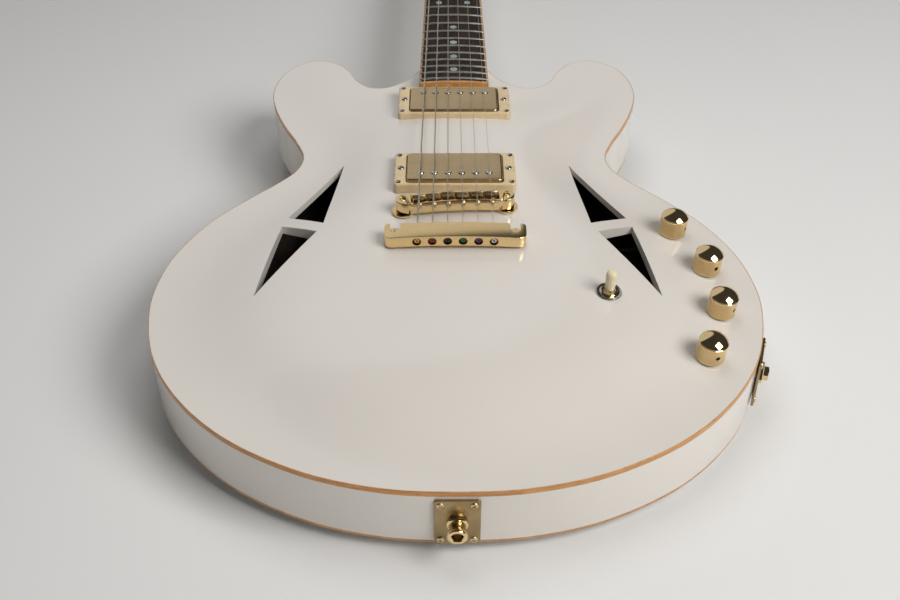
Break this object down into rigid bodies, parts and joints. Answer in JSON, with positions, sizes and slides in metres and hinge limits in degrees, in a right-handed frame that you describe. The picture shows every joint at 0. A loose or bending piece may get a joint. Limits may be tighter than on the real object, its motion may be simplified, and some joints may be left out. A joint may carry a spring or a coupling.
{
  "type": "semi-hollow electric guitar",
  "caption": "Double-cutaway semi-hollow electric guitar with split triangular sound holes, two covered pickups, a bridge with sliding saddles, a stop tailpiece and a three-a-side head.",
  "frame": {"origin": "on the flat middle of the back, under the line of the saddles, in the body's plane of symmetry", "axes": "+Y along the strings from the saddles to the head, +Z out of the top, +X to the treble side"},
  "size_m": [0.4113, 1.0726, 0.1233],
  "materials": {
    "white_lacquer": "gloss lacquer",
    "spruce": "bare",
    "binding_wood": "clear lacquer",
    "rosewood": "oiled",
    "bone": "satin",
    "cream": "gloss",
    "gold": "gold plate, polished",
    "satin_gold": "gold plate, satin",
    "steel": "plain",
    "nickel": "nickel plate",
    "antique_brass": "satin",
    "black_plastic": "satin"
  },
  "bodies": {
    "instrument": {"top_plate": "white_lacquer", "back_plate": "white_lacquer", "rim": "white_lacquer", "centre_block": "spruce", "top_binding": "binding_wood", "back_binding": "binding_wood", "neck": "white_lacquer", "fretboard": "rosewood", "nut": "bone", "truss_rod": "steel", "truss_rod_cover": "black_plastic", "neck_pickup_ring": "cream", "neck_pickup_cover": "satin_gold", "neck_pickup_coils": "steel", "bridge_pickup_ring": "cream", "bridge_pickup_cover": "satin_gold", "bridge_pickup_coils": "steel", "bridge": "gold", "bridge_post_bass": "gold", "bridge_post_treble": "gold", "tailpiece": "gold", "tailpiece_stud_bass": "gold", "tailpiece_stud_treble": "gold", "string_1": "nickel", "string_2": "nickel", "string_3": "nickel", "string_4": "steel", "string_5": "steel", "string_6": "steel", "tuner_plate_bass": "gold", "tuner_plate_treble": "gold", "wiring_harness": "black_plastic", "switch_body": "nickel", "jack_plate": "antique_brass", "tail_plate": "antique_brass", "strap_button_tail": "gold", "strap_button_heel": "gold"},
    "first_saddle": {"saddle_1": "gold"},
    "second_saddle": {"saddle_2": "gold"},
    "third_saddle": {"saddle_3": "gold"},
    "fourth_saddle": {"saddle_4": "gold"},
    "fifth_saddle": {"saddle_5": "gold"},
    "sixth_saddle": {"saddle_6": "gold"},
    "first_post": {"tuner_post_1": "gold"},
    "second_post": {"tuner_post_2": "gold"},
    "third_post": {"tuner_post_3": "gold"},
    "fourth_post": {"tuner_post_4": "gold"},
    "fifth_post": {"tuner_post_5": "gold"},
    "sixth_post": {"tuner_post_6": "gold"},
    "first_button": {"tuner_button_1": "gold"},
    "second_button": {"tuner_button_2": "gold"},
    "third_button": {"tuner_button_3": "gold"},
    "fourth_button": {"tuner_button_4": "gold"},
    "fifth_button": {"tuner_button_5": "gold"},
    "sixth_button": {"tuner_button_6": "gold"},
    "first_knob": {"knob_1": "gold"},
    "second_knob": {"knob_2": "gold"},
    "third_knob": {"knob_3": "gold"},
    "fourth_knob": {"knob_4": "gold"},
    "lever": {"switch_lever": "cream"}
  },
  "joints": [
    {"name": "saddle_1_slide", "type": "slide", "parent": "instrument", "child": "first_saddle", "axis": [-0.0675, 0.9977, 0], "range_m": [-0.0011, 0.0033], "deforming": ["string_1"]},
    {"name": "saddle_2_slide", "type": "slide", "parent": "instrument", "child": "second_saddle", "axis": [-0.0675, 0.9977, 0], "range_m": [-0.00176, 0.00264], "deforming": ["string_2"]},
    {"name": "saddle_3_slide", "type": "slide", "parent": "instrument", "child": "third_saddle", "axis": [-0.0675, 0.9977, 0], "range_m": [-0.00242, 0.00198], "deforming": ["string_3"]},
    {"name": "saddle_4_slide", "type": "slide", "parent": "instrument", "child": "fourth_saddle", "axis": [-0.0675, 0.9977, 0], "range_m": [-0.00132, 0.00308], "deforming": ["string_4"]},
    {"name": "saddle_5_slide", "type": "slide", "parent": "instrument", "child": "fifth_saddle", "axis": [-0.0675, 0.9977, 0], "range_m": [-0.00198, 0.00242], "deforming": ["string_5"]},
    {"name": "saddle_6_slide", "type": "slide", "parent": "instrument", "child": "sixth_saddle", "axis": [-0.0675, 0.9977, 0], "range_m": [-0.00286, 0.00154], "deforming": ["string_6"]},
    {"name": "tuner_button_1_turn", "type": "hinge", "parent": "instrument", "child": "first_button", "pos_m": [-0.023, 0.65904, 0.00471], "axis": [-1, 0, 0], "continuous": true},
    {"name": "tuner_button_2_turn", "type": "hinge", "parent": "instrument", "child": "second_button", "pos_m": [-0.023, 0.69714, -0.00746], "axis": [-1, 0, 0], "continuous": true},
    {"name": "tuner_button_3_turn", "type": "hinge", "parent": "instrument", "child": "third_button", "pos_m": [-0.023, 0.73525, -0.01964], "axis": [-1, 0, 0], "continuous": true},
    {"name": "tuner_button_4_turn", "type": "hinge", "parent": "instrument", "child": "fourth_button", "pos_m": [0.023, 0.73525, -0.01964], "axis": [1, 0, 0], "continuous": true},
    {"name": "tuner_button_5_turn", "type": "hinge", "parent": "instrument", "child": "fifth_button", "pos_m": [0.023, 0.69714, -0.00746], "axis": [1, 0, 0], "continuous": true},
    {"name": "tuner_button_6_turn", "type": "hinge", "parent": "instrument", "child": "sixth_button", "pos_m": [0.023, 0.65904, 0.00471], "axis": [1, 0, 0], "continuous": true},
    {"name": "tuner_post_1_turn", "type": "hinge", "parent": "instrument", "child": "first_post", "pos_m": [-0.023, 0.67192, 0.02233], "axis": [0, 0.3044, 0.9526], "continuous": true, "deforming": ["string_1"]},
    {"name": "tuner_post_2_turn", "type": "hinge", "parent": "instrument", "child": "second_post", "pos_m": [-0.023, 0.71002, 0.01016], "axis": [0, 0.3044, 0.9526], "continuous": true, "deforming": ["string_2"]},
    {"name": "tuner_post_3_turn", "type": "hinge", "parent": "instrument", "child": "third_post", "pos_m": [-0.023, 0.74812, -0.00202], "axis": [0, 0.3044, 0.9526], "continuous": true, "deforming": ["string_3"]},
    {"name": "tuner_post_4_turn", "type": "hinge", "parent": "instrument", "child": "fourth_post", "pos_m": [0.023, 0.74812, -0.00202], "axis": [0, 0.3044, 0.9526], "continuous": true, "deforming": ["string_4"]},
    {"name": "tuner_post_5_turn", "type": "hinge", "parent": "instrument", "child": "fifth_post", "pos_m": [0.023, 0.71002, 0.01016], "axis": [0, 0.3044, 0.9526], "continuous": true, "deforming": ["string_5"]},
    {"name": "tuner_post_6_turn", "type": "hinge", "parent": "instrument", "child": "sixth_post", "pos_m": [0.023, 0.67192, 0.02233], "axis": [0, 0.3044, 0.9526], "continuous": true, "deforming": ["string_6"]},
    {"name": "knob_1_turn", "type": "hinge", "parent": "instrument", "child": "first_knob", "pos_m": [0.1548, -0.0127, 0.05829], "axis": [0.0519, 0.0359, 0.998], "range_deg": [-150, 150]},
    {"name": "knob_2_turn", "type": "hinge", "parent": "instrument", "child": "second_knob", "pos_m": [0.17261, -0.05419, 0.05847], "axis": [0.0656, 0.018, 0.9977], "range_deg": [-150, 150]},
    {"name": "knob_3_turn", "type": "hinge", "parent": "instrument", "child": "third_knob", "pos_m": [0.1754, -0.09778, 0.05852], "axis": [0.0686, -0.0089, 0.9976], "range_deg": [-150, 150]},
    {"name": "knob_4_turn", "type": "hinge", "parent": "instrument", "child": "fourth_knob", "pos_m": [0.1615, -0.1408, 0.05855], "axis": [0.0621, -0.0335, 0.9975], "range_deg": [-150, 150]},
    {"name": "switch_throw", "type": "hinge", "parent": "instrument", "child": "lever", "pos_m": [0.10127, -0.09015, 0.06557], "axis": [0.0002, 1, 0.0082], "range_deg": [-13, 13]}
  ],
  "couplings": [
    {"joint": "tuner_post_1_turn", "follows": "tuner_button_1_turn", "ratio": 0.071429},
    {"joint": "tuner_post_2_turn", "follows": "tuner_button_2_turn", "ratio": 0.071429},
    {"joint": "tuner_post_3_turn", "follows": "tuner_button_3_turn", "ratio": 0.071429},
    {"joint": "tuner_post_4_turn", "follows": "tuner_button_4_turn", "ratio": -0.071429},
    {"joint": "tuner_post_5_turn", "follows": "tuner_button_5_turn", "ratio": -0.071429},
    {"joint": "tuner_post_6_turn", "follows": "tuner_button_6_turn", "ratio": -0.071429}
  ]
}
